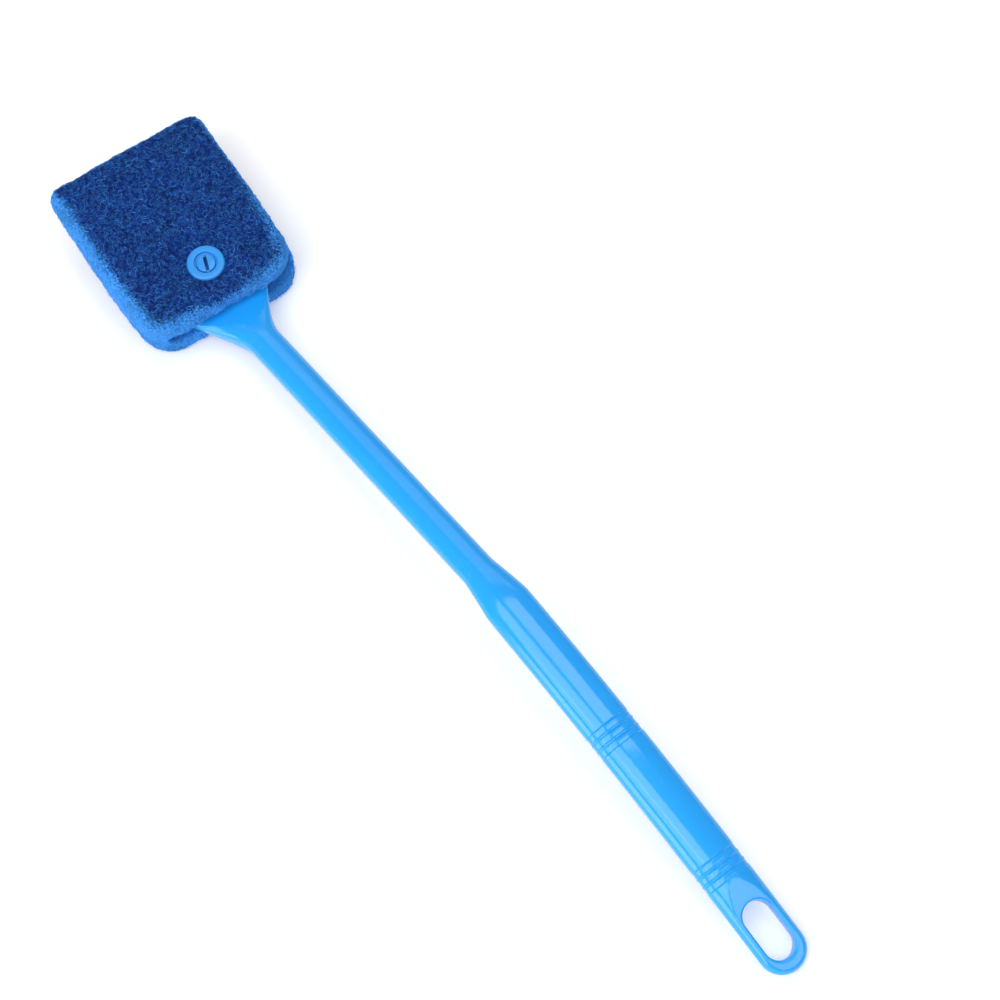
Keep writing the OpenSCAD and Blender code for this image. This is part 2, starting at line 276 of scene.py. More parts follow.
def channel_line(u):
    """Half of the back from the rim's flat to the middle, open as a channel where it is one."""
    w, low = half_width(u), -back(u)
    rim = w - RIM_TUCK - RIM_ROUND
    inner = max(w - WALL - RIM_TUCK / 2, w / 2)
    rib = smooth(u, RIB[0] - RIB_EDGE, RIB[0] + RIB_EDGE) - smooth(u, RIB[1] - RIB_EDGE, RIB[1] + RIB_EDGE)
    deep = (ceiling(u) - low) * (1 - rib) + RIB_SUNK * rib
    lip = min(INNER_ROUND, deep / 3)
    fillet = min(FLOOR_ROUND, deep - lip)
    top = 0.95 * inner
    line = [(rim, low), (inner + lip, low)]
    for k in range(1, 5):
        a = math.radians(22.5 * k)
        line.append((inner + lip * (1 - math.sin(a)), low + lip * (1 - math.cos(a))))
    rise = deep - fillet - lip
    line += [lerp((inner, low + lip), (top, low + lip + rise), s) for s in (0.33, 0.67)]
    for k in range(6):
        a = math.radians(18 * k)
        line.append((top - fillet * (1 - math.cos(a)), low + deep - fillet * (1 - math.sin(a))))
    left = CROWN_STEPS // 2 + 1 - len(line)
    line += [(line[-1][0] * (1 - (k + 1) / left), low + deep) for k in range(left)]
    wide = smooth(u, TIP_AT + 0.0016, TIP_AT + 0.0026) - smooth(u, CHANNEL_END - 0.0006, CHANNEL_END + 0.0003)
    flat = [(rim * math.cos(math.pi * k / CROWN_STEPS), low) for k in range(len(line))]
    return [lerp(p, q, wide) for p, q in zip(flat, line)]


def section(u):
    """The moulding's outline at u: crown, one side, back or channel, other side."""
    over, wall, half = crown_line(u), wall_line(u), channel_line(u)
    w = half_width(u)
    far = [(d - w, z) for d, z in wall]
    under = [(-y, z) for y, z in half[:-1]] + half[::-1]
    near = [(w - d, z) for d, z in wall[::-1]]
    outline = over + far + under[1:-1] + near
    return [on_handle(u, y, z) for y, z in outline]


def spread(a, b, step):
    """Even places from a up to b, which is left out, about a step apart."""
    count = max(1, round((b - a) / step))
    return [a + (b - a) * k / count for k in range(count)]


def in_runs(start, *runs):
    """Places from start on: each run says how far it goes, and the step in it."""
    places = []
    for to, step in runs:
        places += spread(start, to, step)
        start = to
    return places


def stations():
    """Places of the sections, close together where the shape changes."""
    places = [TIP_AT + 0.0002, TIP_AT + 0.0006, TIP_AT + 0.001]
    places += in_runs(TIP_AT + 0.0015, (TIP_AT + 0.003, 0.0003), (TIP_AT + 0.009, 0.001), (-0.008, 0.004),
                      (RAMP[0], 0.0012), (RAMP[1], 0.0005), (0.050, 0.0012), (SHOULDER[0] - 0.006, 0.006),
                      (RIB[0] - 0.0005, 0.001), (RIB[0] + 0.0005, 0.00015))
    places += [RIB[0] + 0.0005]
    places += in_runs(RIB[1] - 0.0005, (RIB[1] + 0.0005, 0.00015), (SHOULDER[1] + 0.004, 0.001),
                      (FIRST_RINGS - 0.0005, 0.004))
    for start, after in ((FIRST_RINGS, SECOND_RINGS - 0.0005), (SECOND_RINGS, RINGS_END + 0.0005)):
        for k in range(3):
            a = start + k * BAND_PITCH
            places += in_runs(a - 0.0005, (a + 0.0005, 0.00013), (a + BAND_LEN - 0.0004, 0.0006),
                              (a + BAND_LEN + 0.0004, 0.00013))
        places += spread(a + BAND_LEN + 0.0004, after, 0.004)
    places += in_runs(RINGS_END + 0.0005, (CHANNEL_END - 0.0007, 0.0006), (CHANNEL_END + 0.0004, 0.00015))
    return places + [CHANNEL_END + 0.0004, CHANNEL_END + 0.0010, TAIL_FROM]


def deselect():
    bpy.ops.object.select_all(action="DESELECT")


def begin(name):
    """The newest primitive, renamed, in edit mode."""
    piece = bpy.context.object
    piece.name = piece.data.name = name
    bpy.ops.object.mode_set(mode="EDIT")
    return piece, bmesh.from_edit_mesh(piece.data)


def leave_edit(piece):
    bmesh.update_edit_mesh(piece.data)
    bpy.ops.object.mode_set(mode="OBJECT")
    return piece


def loft(name, rows, closed=True):
    """A skin over rows of points: the first row is a ring, and each next one is extruded from the last."""
    deselect()
    bpy.ops.mesh.primitive_circle_add(vertices=len(rows[0]))
    piece, mesh = begin(name)
    bpy.ops.mesh.select_mode(type="EDGE")
    mesh.verts.ensure_lookup_table()
    ring = list(mesh.verts)
    if not closed:
        for edge in mesh.edges:
            edge.select = {v.index for v in edge.verts} == {0, len(ring) - 1}
        bpy.ops.mesh.delete(type="EDGE")
        bpy.ops.mesh.select_all(action="SELECT")
    for row in rows:
        if row is not rows[0]:
            bpy.ops.mesh.extrude_edges_move()
            old = set(ring)
            reached = [[edge.other_vert(v) for edge in v.link_edges] for v in ring]
            ring = [next(w for w in near if w.select and w not in old) for near in reached]
        for vertex, place in zip(ring, row):
            vertex.co = place
    return leave_edit(piece)


def join(name, parts, gap=0.00001):
    """Several skins made one closed shell, with its faces turned outwards."""
    deselect()
    for part in parts:
        part.select_set(True)
    bpy.context.view_layer.objects.active = parts[0]
    bpy.ops.object.join()
    piece, _ = begin(name)
    bpy.ops.mesh.select_mode(type="VERT")
    bpy.ops.mesh.select_all(action="SELECT")
    bpy.ops.mesh.remove_doubles(threshold=gap)
    bpy.ops.mesh.normals_make_consistent(inside=False)
    return leave_edit(piece)


def fill_holes(piece):
    """Closes each open edge of the piece with a face."""
    bpy.context.view_layer.objects.active = piece
    bpy.ops.object.mode_set(mode="EDIT")
    bpy.ops.mesh.select_mode(type="EDGE")
    bpy.ops.mesh.select_all(action="DESELECT")
    bpy.ops.mesh.select_non_manifold()
    bpy.ops.mesh.edge_face_add()
    return leave_edit(piece)


def outline_tail():
    """Points round the tail, from one side over the end to the other, with the way inwards at each."""
    w = GRIP_W / 2
    centre = TAIL_AT - w
    straight = spread(TAIL_FROM, centre, 0.0011)
    points = [((u, -w), (0.0, 1.0)) for u in straight]
    for k in range(31):
        a = math.radians(-90 + 6 * k)
        points.append(((centre + w * math.cos(a), w * math.sin(a)), (-math.cos(a), -math.sin(a))))
    return points + [((u, w), (0.0, -1.0)) for u in straight[::-1]]


def hole_point(u, y, off):
    """The point of the hanging hole's outline, moved out by off, that is nearest to u, y."""
    r = HOLE_W / 2
    middle = min(max(u, HOLE[0] + r), HOLE[1] - r)
    size = math.hypot(u - middle, y) or 1.0
    return middle + (u - middle) / size * (r + off), y / size * (r + off)


def tail_top(u, y):
    """Height of the tail's front, which is domed to its end and cut by the facet."""
    w = GRIP_W / 2
    centre = TAIL_AT - w
    beside = abs(y) if u < centre else math.hypot(u - centre, y)
    return clipped(GRIP_TOP * math.sqrt(max(0.0, 1 - min(1.0, beside / w) ** 2)), u)


def tail_rows():
    """Rings of the tail: over its top to the hanging hole, down the hole and back under it."""
    w = GRIP_W / 2
    outline = outline_tail()
    head = crown_line(TAIL_FROM)
    frame_top = [(TAIL_FROM, y) for y, _ in head] + [p for p, _ in outline[1:-1]]
    rim = w - RIM_TUCK - RIM_ROUND
    inset = RIM_TUCK + RIM_ROUND
    frame_low = [(TAIL_FROM, rim * math.cos(math.pi * k / CROWN_STEPS)) for k in range(CROWN_STEPS + 1)]
    frame_low += [(p[0] + n[0] * inset, p[1] + n[1] * inset) for p, n in outline[1:-1]]
    widest = math.acos(1 - (w - HOLE_W / 2) / w)
    rows = []
    for k in range(11):
        t = (1 - math.cos(widest * k / 10)) / (1 - math.cos(widest))
        row = [lerp(p, hole_point(*p, LIP), t) for p in frame_top]
        rows.append([(u, y, tail_top(u, y)) for u, y in row])
    for k in range(1, 6):
        a = math.radians(18 * k)
        row = [hole_point(*p, LIP * (1 - math.sin(a))) for p in frame_top]
        rows.append([(u, y, tail_top(*hole_point(u, y, LIP)) - LIP * (1 - math.cos(a))) for u, y in row])
    for k, inward in ((0.45, -0.0001), (0.5, -0.00016), (0.55, -0.0001)):
        row = [hole_point(*p, inward) for p in frame_top]
        rows.append([(u, y, lerp((tail_top(u, y) - LIP,), (LIP / 2 - back(u),), k)[0]) for u, y in row])
    for k in range(5):
        a = math.radians(90 - 22.5 * k)
        row = [hole_point(*p, LIP / 2 * (1 - math.sin(a))) for p in frame_low]
        rows.append([(u, y, -back(u) + LIP / 2 * (1 - math.cos(a))) for u, y in row])
    for k in range(1, 6):
        row = [lerp(hole_point(*p, LIP / 2), p, k / 5) for p in frame_low]
        rows.append([(u, y, -back(u)) for u, y in row])
    return [[on_handle(*p) for p in row] for row in rows]


def tail_wall_rows():
    """The side of the tail, from the crown's edge down to the flat of the rim."""
    rows = [[on_handle(*p, 0.0) for p, _ in outline_tail()]]
    for k in range(len(wall_line(TAIL_AT))):
        row = []
        for p, n in outline_tail():
            inset, z = wall_line(p[0])[k]
            row.append(on_handle(p[0] + n[0] * inset, p[1] + n[1] * inset, z))
        rows.append(row)
    return rows


def apply_modifiers(piece):
    deselect()
    piece.select_set(True)
    bpy.context.view_layer.objects.active = piece
    for modifier in list(piece.modifiers):
        bpy.ops.object.modifier_apply(modifier=modifier.name)


def cut(piece, cutter):
    """Takes the cutter's shape out of the piece."""
    modifier = piece.modifiers.new("cut", "BOOLEAN")
    modifier.operation = "DIFFERENCE"
    modifier.solver = "EXACT"
    modifier.object = cutter
    apply_modifiers(piece)
    bpy.data.objects.remove(cutter)


def smooth_by_angle(piece, degrees=32):
    deselect()
    piece.select_set(True)
    bpy.context.view_layer.objects.active = piece
    bpy.ops.object.shade_smooth_by_angle(angle=math.radians(degrees))


def cylinder(count, r, length, place, turn):
    """A round cutter at its place."""
    bpy.ops.mesh.primitive_cylinder_add(vertices=count, radius=r, depth=length, location=place, rotation=turn)
    return bpy.context.object


def tilt_at(u):
    """The turn about Y that stands a cutter square to the handle at the place u."""
    return LIE_ANGLE - along(u - TIP_AT)[2]


def stud_hole_cutter():
    deselect()
    return cylinder(64, STUD_HOLE_R, 0.03, STUD, (0, LIE_ANGLE, 0))


def notch_cutter():
    """The small notches along both lower edges of the grip, from the first rings to the second."""
    deselect()
    made = []
    for side in (-1, 1):
        for k in range(NOTCHES):
            u = FIRST_RINGS + NOTCH_FROM + k * NOTCH_PITCH
            place = on_handle(u, side * (half_width(u) + 0.0001), 0.0013 - back(u))
            made.append(cylinder(3, NOTCH_R, NOTCH_LEN, place, (math.radians(90), tilt_at(u), 0)))
    return join("notches", made, gap=1e-7)


def pin_mark_cutter():
    """The round marks that the mould's ejector pins leave on the channel's floor."""
    deselect()
    made = []
    length = 0.001
    for u in PIN_MARKS:
        place = on_handle(u, 0, ceiling(u) - length / 2 + PIN_MARK_DEEP)
        made.append(cylinder(40, PIN_MARK_R, length, place, (0, tilt_at(u), 0)))
    return join("pin_marks", made, gap=1e-7)


def make_handle():
    rows = [section(u) for u in stations()]
    body = loft("handle_body", rows)
    tail = loft("handle_tail", tail_rows())
    wall = loft("handle_wall", tail_wall_rows(), closed=False)
    handle = fill_holes(join("handle_shell", [body, tail, wall]))
    cut(handle, stud_hole_cutter())
    cut(handle, notch_cutter())
    cut(handle, pin_mark_cutter())
    smooth_by_angle(handle)
    return handle


def in_pad(x, y, z):
    """A point of the pad's own frame, x towards its open end, where the pad lies."""
    y += PAD_SHIFT
    c, s = math.cos(PAD_TURN), math.sin(PAD_TURN)
    return lie(c * x - s * y, s * x + c * y, z)


def from_rim(x, y, end):
    """Distance from a leaf's rim, inwards: straight sides and round corners at the open end."""
    dx, dy = x - end + OPEN_CORNER, abs(y) - PAD_HALF_W + OPEN_CORNER
    return OPEN_CORNER - min(max(dx, dy), 0.0) - math.hypot(max(dx, 0.0), max(dy, 0.0))


def leaf_outer(x, y):
    """Height of a leaf's outer face, with the dimple that the fastener presses into it."""
    t = (x - TURN_AT) / (PAD_OPEN - TURN_AT)
    beside = math.hypot(x, y + PAD_SHIFT)
    pressed = DIMPLE * (1 - smooth(beside, DIMPLE_FROM, DIMPLE_TO))
    return PAD_FOLD_HALF + (PAD_OPEN_HALF - PAD_FOLD_HALF) * t - pressed


def leaf_inner(x, y, pocket):
    """Height of a leaf's inner face: close to the other leaf, and hollowed where the paddle lies."""
    t = share(x, TURN_AT, PAD_OPEN)
    gap = LEAF_GAP[0] + (LEAF_GAP[1] - LEAF_GAP[0]) * t
    room = pocket[0] + (pocket[1] - pocket[0]) * share(x, POCKET_AT, PAD_OPEN)
    across = 1 - smooth(abs(y + PAD_SHIFT), POCKET_HALF_W, POCKET_HALF_W + POCKET_BLEND)
    return gap + (room - gap) * across * smooth(x, POCKET_AT - 0.002, POCKET_AT + 0.001)


def sides(t):
    """How far the two sides stand out from a straight cut, at a share of the pad's length."""
    near = SIDE_BULGE * np.sin(math.pi * t) ** 1.3 - SIDE_TUCK * t ** 2
    return near, FOLD_WIDER * (1 - t)


def bulged(x, y):
    """The pad's sides are not straight: one swells and tucks in, the other widens to the fold."""
    near, far = sides(share(x, PAD_FOLD, PAD_OPEN))
    return y - near * max(0.0, -y / PAD_HALF_W) ** 2 + far * max(0.0, y / PAD_HALF_W) ** 2


def across_pad(w):
    """Places across the pad, close together where its edges are round."""
    edge = [OUTER_EDGE * (1 - math.cos(math.radians(15 * k))) - w for k in range(6)]
    reach = PAD_HALF_W - OUTER_EDGE
    narrowed = (w - OUTER_EDGE) / reach
    middle = [y * narrowed for y in spread(-reach, reach, PAD_STEP) + [reach]]
    return edge + middle + [-y for y in edge[::-1]]


def slab_ring(w, outer, inner):
    """Once round the slab's section: outer face, side, inner face, side, as y and height."""
    ys = across_pad(w)
    over = [(y, outer(y)) for y in ys]
    under = [(y, inner(y)) for y in ys[::-1]]
    far = [(w, over[-1][1] + (under[0][1] - over[-1][1]) * k / 5) for k in range(1, 5)]
    near = [(-w, under[-1][1] + (over[0][1] - under[-1][1]) * k / 5) for k in range(1, 5)]
    return over + far + under + near


def leaf_rows(side, more, pocket):
    """Rings of one leaf from the fold to its open end, which closes in a rounded edge."""
    end = PAD_OPEN + more
    rows = []
    ends = [end - OPEN_CORNER * (1 - math.cos(math.radians(6 * k))) for k in range(11)][::-1]
    for x in spread(TURN_AT, ends[0], PAD_STEP) + ends:
        w = PAD_HALF_W - corner_loss(end - x, OPEN_CORNER)
        ring = slab_ring(
            w,
            lambda y: leaf_outer(x, y) - corner_loss(from_rim(x, y, end), OUTER_EDGE),
            lambda y: leaf_inner(x, y, pocket) + corner_loss(from_rim(x, y, end), INNER_EDGE))
        slid = share(x, TURN_AT, PAD_OPEN) if side < 0 else 0.0
        rows.append([(x + BACK_LEAF_SKEW * slid * y, bulged(x, y) + BACK_LEAF_SHIFT * slid, side * h)
                     for y, h in ring])
    last = rows[-1]
    count = len(across_pad(PAD_HALF_W))
    middle = [(last[k][2] + last[-5 - k][2]) / 2 for k in range(count)]
    partner = middle + [middle[-1]] * 4 + middle[::-1] + [middle[0]] * 4
    for t, out in LEAF_END:
        rows.append([(x + out, y, h + (m - h) * t) for (x, y, h), m in zip(last, partner)])
    return rows


def fold_rows():
    """Rings round the fold, from the front leaf to the back leaf."""
    rows = []
    for k in range(1, 18):
        a = math.pi / 2 + math.pi * k / 18
        w = PAD_HALF_W - corner_loss(PAD_FOLD_HALF * (1 + math.cos(a)), FOLD_CORNER)
        ring = slab_ring(
            w,
            lambda y: PAD_FOLD_HALF - corner_loss(w - abs(y), OUTER_EDGE),
            lambda y: LEAF_GAP[0] + corner_loss(w - abs(y), INNER_EDGE))
        turn_x = [TURN_AT + h * math.cos(a) for _, h in ring]
        rows.append([(x, bulged(x, y), h * math.sin(a)) for x, (y, h) in zip(turn_x, ring)])
    return rows


def seat_cutter():
    """The way through the pad: the seat of the stud's head, the shank's hole and the collar's seat."""
    shank, head, ring = SHANK_R + SEAT_ROOM, HEAD_R + COLLAR_ROOM, COLLAR_R + COLLAR_ROOM
    low, high = -HEAD_UNDER + SEAT_ROOM / 2, COLLAR_UNDER - SEAT_ROOM / 2
    far = 2 * PAD_OPEN_HALF
    return turned("seats", [(0, -far), (head, -far), (head, low), (shank, low), (shank, high),
                            (ring, high), (ring, far), (0, far)], 72)


def name_group(piece, label, chosen):
    named = piece.vertex_groups.new(name=label)
    named.add([int(k) for k in chosen], 1.0, "REPLACE")


def coordinates(mesh):
    """The mesh's points as one flat array."""
    flat = np.empty(len(mesh.vertices) * 3)
    mesh.vertices.foreach_get("co", flat)
    return flat


def pad_places(piece):
    """Every point of the pad in the pad's own frame, as one array."""
    local = (coordinates(piece.data).reshape(-1, 3) - np.array(STUD)) @ np.array(LIE)
    c, s = math.cos(PAD_TURN), math.sin(PAD_TURN)
    x, y = local[:, 0], local[:, 1]
    return np.stack([c * x + s * y, -s * x + c * y - PAD_SHIFT, local[:, 2]], axis=1)


def pad_measures(piece):
    """Each point's place, the height of the outer face there, and its distance from the stud's axis."""
    x, y, z = pad_places(piece).T
    t = np.clip((x - TURN_AT) / (PAD_OPEN - TURN_AT), 0, 1)
    outer = PAD_FOLD_HALF + (PAD_OPEN_HALF - PAD_FOLD_HALF) * t
    return x, y, z, outer, np.hypot(x, y + PAD_SHIFT)


def eased(values, a, b):
    """As smooth, for an array."""
    t = np.clip((values - a) / (b - a), 0, 1)
    return t * t * (3 - 2 * t)


def pad_masks(piece):
    """How far each point is a coated face (1) or a cut edge (0), lowered at the fold's far end as a painted
    rim highlight, and whether it faces out of the pad.
    """
    x, y, z, outer, beside = pad_measures(piece)
    length = np.clip((x - PAD_FOLD) / (PAD_OPEN - PAD_FOLD), 0, 1)
    near_out, far_out = sides(length)
    left = PAD_HALF_W + near_out + y
    right = PAD_HALF_W + far_out - y
    middle = np.exp(-((y + PAD_SHIFT) / 0.02) ** 2)
    coat_and_rim_light = eased(np.abs(z) / outer, 0.5, 0.9) * eased(PAD_OPEN + 0.004 * middle - x, -0.0012, 0.0095)
    opened = eased(x, TURN_AT + 0.02, PAD_OPEN)
    least = 0.5 - 0.4 * opened
    coat_and_rim_light = coat_and_rim_light * (least + (1 - least) * eased(right, -0.001, 0.0045 + 0.0065 * opened))
    coat_and_rim_light = coat_and_rim_light * eased(left, 0.0, 0.0088)
    fold_coat_rim_lit = eased(right, -0.002, 0.006) * eased(left, 0, 0.006)
    # Painted rim highlight: towards the fold's far end the coat drops to 0.3, so the lighter edge colour
    # stands in for light along the fold's turned-away edge
    fold_coat_rim_lit = fold_coat_rim_lit * (0.3 + 0.7 * eased(x - PAD_FOLD, 0.0, 0.0035))
    coat_and_rim_light = np.where(x < TURN_AT, fold_coat_rim_lit, coat_and_rim_light)
    near_rim = np.minimum(np.minimum(left, right), PAD_OPEN + 0.001 - x)
    outside = np.maximum(np.abs(z) / outer > 0.72, near_rim < 0.0012) | (x < TURN_AT - 0.004)
    outside = outside & ((beside > COLLAR_R + 0.0012) | (np.abs(z) < 0.008))
    return np.clip(coat_and_rim_light, 0, 1), outside.astype(float)


def store(piece, label, values):
    """Keeps one number for each point, for the materials and the fibres."""
    layer = piece.data.attributes.new(label, "FLOAT", "POINT")
    layer.data.foreach_set("value", np.asarray(values, dtype=np.float32))


def swell(pad):
    """The pad's outer skin, blown up a little from inside as cloth, with its inside and its seats held."""
    x, _, z, outer, beside = pad_measures(pad)
    lying = (z < 0) & (x > PAD_OPEN - HELD_LYING)
    held = (np.abs(z) < HELD_INSIDE * outer) | (beside < HELD_ROUND_STUD) | lying
    name_group(pad, "held", np.nonzero(held)[0])
    cloth = pad.modifiers.new("swell", "CLOTH")
    cloth.settings.vertex_group_mass = "held"
    cloth.settings.quality = 6
    cloth.settings.mass = 0.2
    cloth.settings.tension_stiffness = 40
    cloth.settings.compression_stiffness = 40
    cloth.settings.bending_stiffness = 2
    cloth.settings.use_pressure = True
    cloth.settings.uniform_pressure_force = 4
    cloth.settings.effector_weights.gravity = 0
    cloth.point_cache.frame_end = SWELL_FRAMES
    for step in range(1, SWELL_FRAMES + 1):
        bpy.context.scene.frame_set(step)
    grown = pad.evaluated_get(bpy.context.evaluated_depsgraph_get())
    rest = coordinates(pad.data)
    move = (coordinates(grown.data) - rest).reshape(-1, 3)
    size = np.linalg.norm(move, axis=1)
    soft = SWELL * np.tanh(size / SWELL) / np.maximum(size, 1e-9)
    pad.modifiers.remove(cloth)
    pad.vertex_groups.clear()
    pad.data.vertices.foreach_set("co", rest + (move * soft[:, None]).ravel())
    bpy.context.scene.frame_set(1)


def roughen(pad):
    """Uneven thickness, lumps and matted fibres, moved along the surface's own direction."""
    _, outside = pad_masks(pad)
    name_group(pad, "outside", np.nonzero(outside)[0])
    for label, size, depth, strength in FELT_LAYERS:
        pattern = bpy.data.textures.new(label, "CLOUDS")
        pattern.noise_scale = size
        pattern.noise_depth = depth
        modifier = pad.modifiers.new(label, "DISPLACE")
        modifier.texture = pattern
        modifier.texture_coords = "LOCAL"
        modifier.strength = strength
        modifier.mid_level = 0.5
        modifier.vertex_group = "outside"
    apply_modifiers(pad)
    pad.vertex_groups.clear()


def rest_on_floor(pad):
    """What the pad's own weight flattens where it lies."""
    flat = coordinates(pad.data)
    height = flat[2::3]
    pressed = FLOOR_GAP + PRESSED_SHARE * np.minimum(height + PRESS, PRESS)
    flat[2::3] = np.maximum(np.maximum(height, pressed), FLOOR_GAP)
    pad.data.vertices.foreach_set("co", flat)


def make_pad():
    front = leaf_rows(1, 0.0, POCKET_FRONT)
    below = leaf_rows(-1, BACK_LEAF_MORE, POCKET_BACK)
    rows = front[::-1] + fold_rows() + below
    pad = join("pad", [loft("pad", [[in_pad(*p) for p in row] for row in rows])])
    swell(pad)
    modifier = pad.modifiers.new("fine", "SUBSURF")
    modifier.levels = modifier.render_levels = 1
    apply_modifiers(pad)
    cut(pad, seat_cutter())
    roughen(pad)
    rest_on_floor(pad)
    coat_and_rim_light, outside = pad_masks(pad)
    # The coat mask also carries the painted rim highlight at the fold
    store(pad, "coat_and_rim_light", coat_and_rim_light)
    store(pad, "outside", outside)
    smooth_by_angle(pad, 60)
    return pad


def make_strand(k, chance):
    """One curled fibre, lying on z = 0: a thin three-sided tube along an arc that lifts a little."""
    bend = math.radians(chance.uniform(50, 200))
    length = chance.uniform(0.0012, 0.003)
    lift = chance.uniform(0.0001, 0.0005)
    r = chance.uniform(0.000045, 0.00008)
    rows = []
    for step in range(4):
        t = step / 3
        a = bend * (t - 0.5)
        centre = Vector((math.sin(a), 1 - math.cos(a), 0)) * (length / bend)
        centre.z = lift * math.sin(math.pi * t) - 0.00005
        out = Vector((math.sin(a), -math.cos(a), 0))
        thin = r * (0.6 + 0.4 * math.sin(math.pi * t))
        ring = [(math.cos(b), math.sin(b)) for b in (0, 2 * math.pi / 3, 4 * math.pi / 3)]
        rows.append([centre + (out * c + Vector((0, 0, 1)) * s) * thin for c, s in ring])
    return fill_holes(join(f"strand_{k}", [loft(f"strand_{k}", rows)], gap=1e-7))


def scatter(pad, strands):
    """The node tree that strews the strands over the pad's outside, each turned and sized by chance."""
    tree = bpy.data.node_groups.new("strew_fibres", "GeometryNodeTree")
    tree.interface.new_socket("Geometry", in_out="INPUT", socket_type="NodeSocketGeometry")
    tree.interface.new_socket("Geometry", in_out="OUTPUT", socket_type="NodeSocketGeometry")
    finish = tree.nodes.new("NodeGroupOutput")
    surface = add(tree, "GeometryNodeObjectInfo", {"Object": pad})
    outside = add(tree, "GeometryNodeInputNamedAttribute", {"Name": "outside"}, data_type="FLOAT")
    keep = add(tree, "FunctionNodeCompare", {"A": outside.outputs["Attribute"], "B": 0.99},
               data_type="FLOAT", operation="GREATER_EQUAL")
    points = add(tree, "GeometryNodeDistributePointsOnFaces",
                 {"Mesh": surface.outputs["Geometry"], "Selection": keep.outputs["Result"],
                  "Density": FIBRES_PER_M2, "Seed": 5}, distribute_method="RANDOM")
    chosen = add(tree, "GeometryNodeCollectionInfo", {"Collection": strands, "Separate Children": True,
                                                      "Reset Children": True})
    angle = by_chance(tree, 1, 0.0, 2 * math.pi)
    spin = add(tree, "FunctionNodeAxisAngleToRotation", {"Axis": (0, 0, 1), "Angle": angle})
    turn = add(tree, "FunctionNodeRotateRotation",
               {"Rotation": points.outputs["Rotation"], "Rotate By": spin.outputs["Rotation"]},
               rotation_space="LOCAL")
    size = by_chance(tree, 2, 0.6, 1.5)
    strewn = add(tree, "GeometryNodeInstanceOnPoints",
                 {"Points": points.outputs["Points"], "Instance": chosen.outputs["Instances"],
                  "Pick Instance": True, "Rotation": turn.outputs["Rotation"], "Scale": size})
    tone = by_chance(tree, 3)
    toned = add(tree, "GeometryNodeStoreNamedAttribute",
                {"Geometry": strewn.outputs["Instances"], "Name": "tone", "Value": tone},
                data_type="FLOAT", domain="INSTANCE")
    real = add(tree, "GeometryNodeRealizeInstances", {"Geometry": toned.outputs["Geometry"]})
    tree.links.new(real.outputs["Geometry"], finish.inputs[0])
    return tree


def by_chance(tree, seed, low=0.0, high=1.0):
    """A random number for each point or strand."""
    node = add(tree, "FunctionNodeRandomValue", {"Min": low, "Max": high, "Seed": seed}, data_type="FLOAT")
    return next(s for s in node.outputs if s.enabled)


def make_fibres(pad):
    """Loose curled fibres all over the pad's outside, as one piece."""
    chance = random.Random(11)
    strands = bpy.data.collections.new("strands")
    bpy.context.scene.collection.children.link(strands)
    for k in range(STRAND_KINDS):
        strand = make_strand(k, chance)
        for owner in list(strand.users_collection):
            owner.objects.unlink(strand)
        strands.objects.link(strand)
    deselect()
    bpy.ops.mesh.primitive_plane_add(size=0.001)
    fibres = bpy.context.object
    fibres.name = fibres.data.name = "pad_fibres"
    modifier = fibres.modifiers.new("strew", "NODES")
    modifier.node_group = scatter(pad, strands)
    apply_modifiers(fibres)
    for strand in list(strands.objects):
        bpy.data.objects.remove(strand)
    bpy.data.collections.remove(strands)
    return fibres


def turned(name, profile, steps=96):
    """A shape turned round the stud's axis from radii and heights."""
    angles = [2 * math.pi * k / steps for k in range(steps)]
    least = 1e-7
    drawn = [(max(r, least), z) for r, z in profile]
    rows = [[lie(r * math.cos(a), r * math.sin(a), z) for a in angles] for r, z in drawn]
    return join(name, [loft(name, rows)], gap=1e-6)


def rounded(r, z, radius, start, end, steps=5):
    """Points of a rounded edge round the centre r, z, from one direction to another, in degrees."""
    angles = [math.radians(start + (end - start) * k / steps) for k in range(steps + 1)]
    return [(r + radius * math.cos(a), z + radius * math.sin(a)) for a in angles]


def slot_cutter():
    """The slot that splits the tip: shallow right across it, and deep in the middle."""
    made = []
    for length, deep in ((3 * SHANK_R, 0.0007), (SLOT_LEN, SLOT_DEEP)):
        deselect()
        bpy.ops.mesh.primitive_cube_add(size=1)
        box, mesh = begin("slot")
        c, s = math.cos(SLOT_TURN), math.sin(SLOT_TURN)
        for v in mesh.verts:
            x, y = v.co.x * length, v.co.y * SLOT_W
            z = TIP_TOP + 0.002 + (v.co.z - 0.5) * 2 * (0.001 + deep / 2)
            v.co = lie(c * x - s * y, s * x + c * y, z)
        made.append(leave_edit(box))
    return made


def bevelled(piece, width):
    modifier = piece.modifiers.new("edges", "BEVEL")
    modifier.width = width
    modifier.segments = 2
    modifier.limit_method = "ANGLE"
    modifier.angle_limit = math.radians(50)
    apply_modifiers(piece)


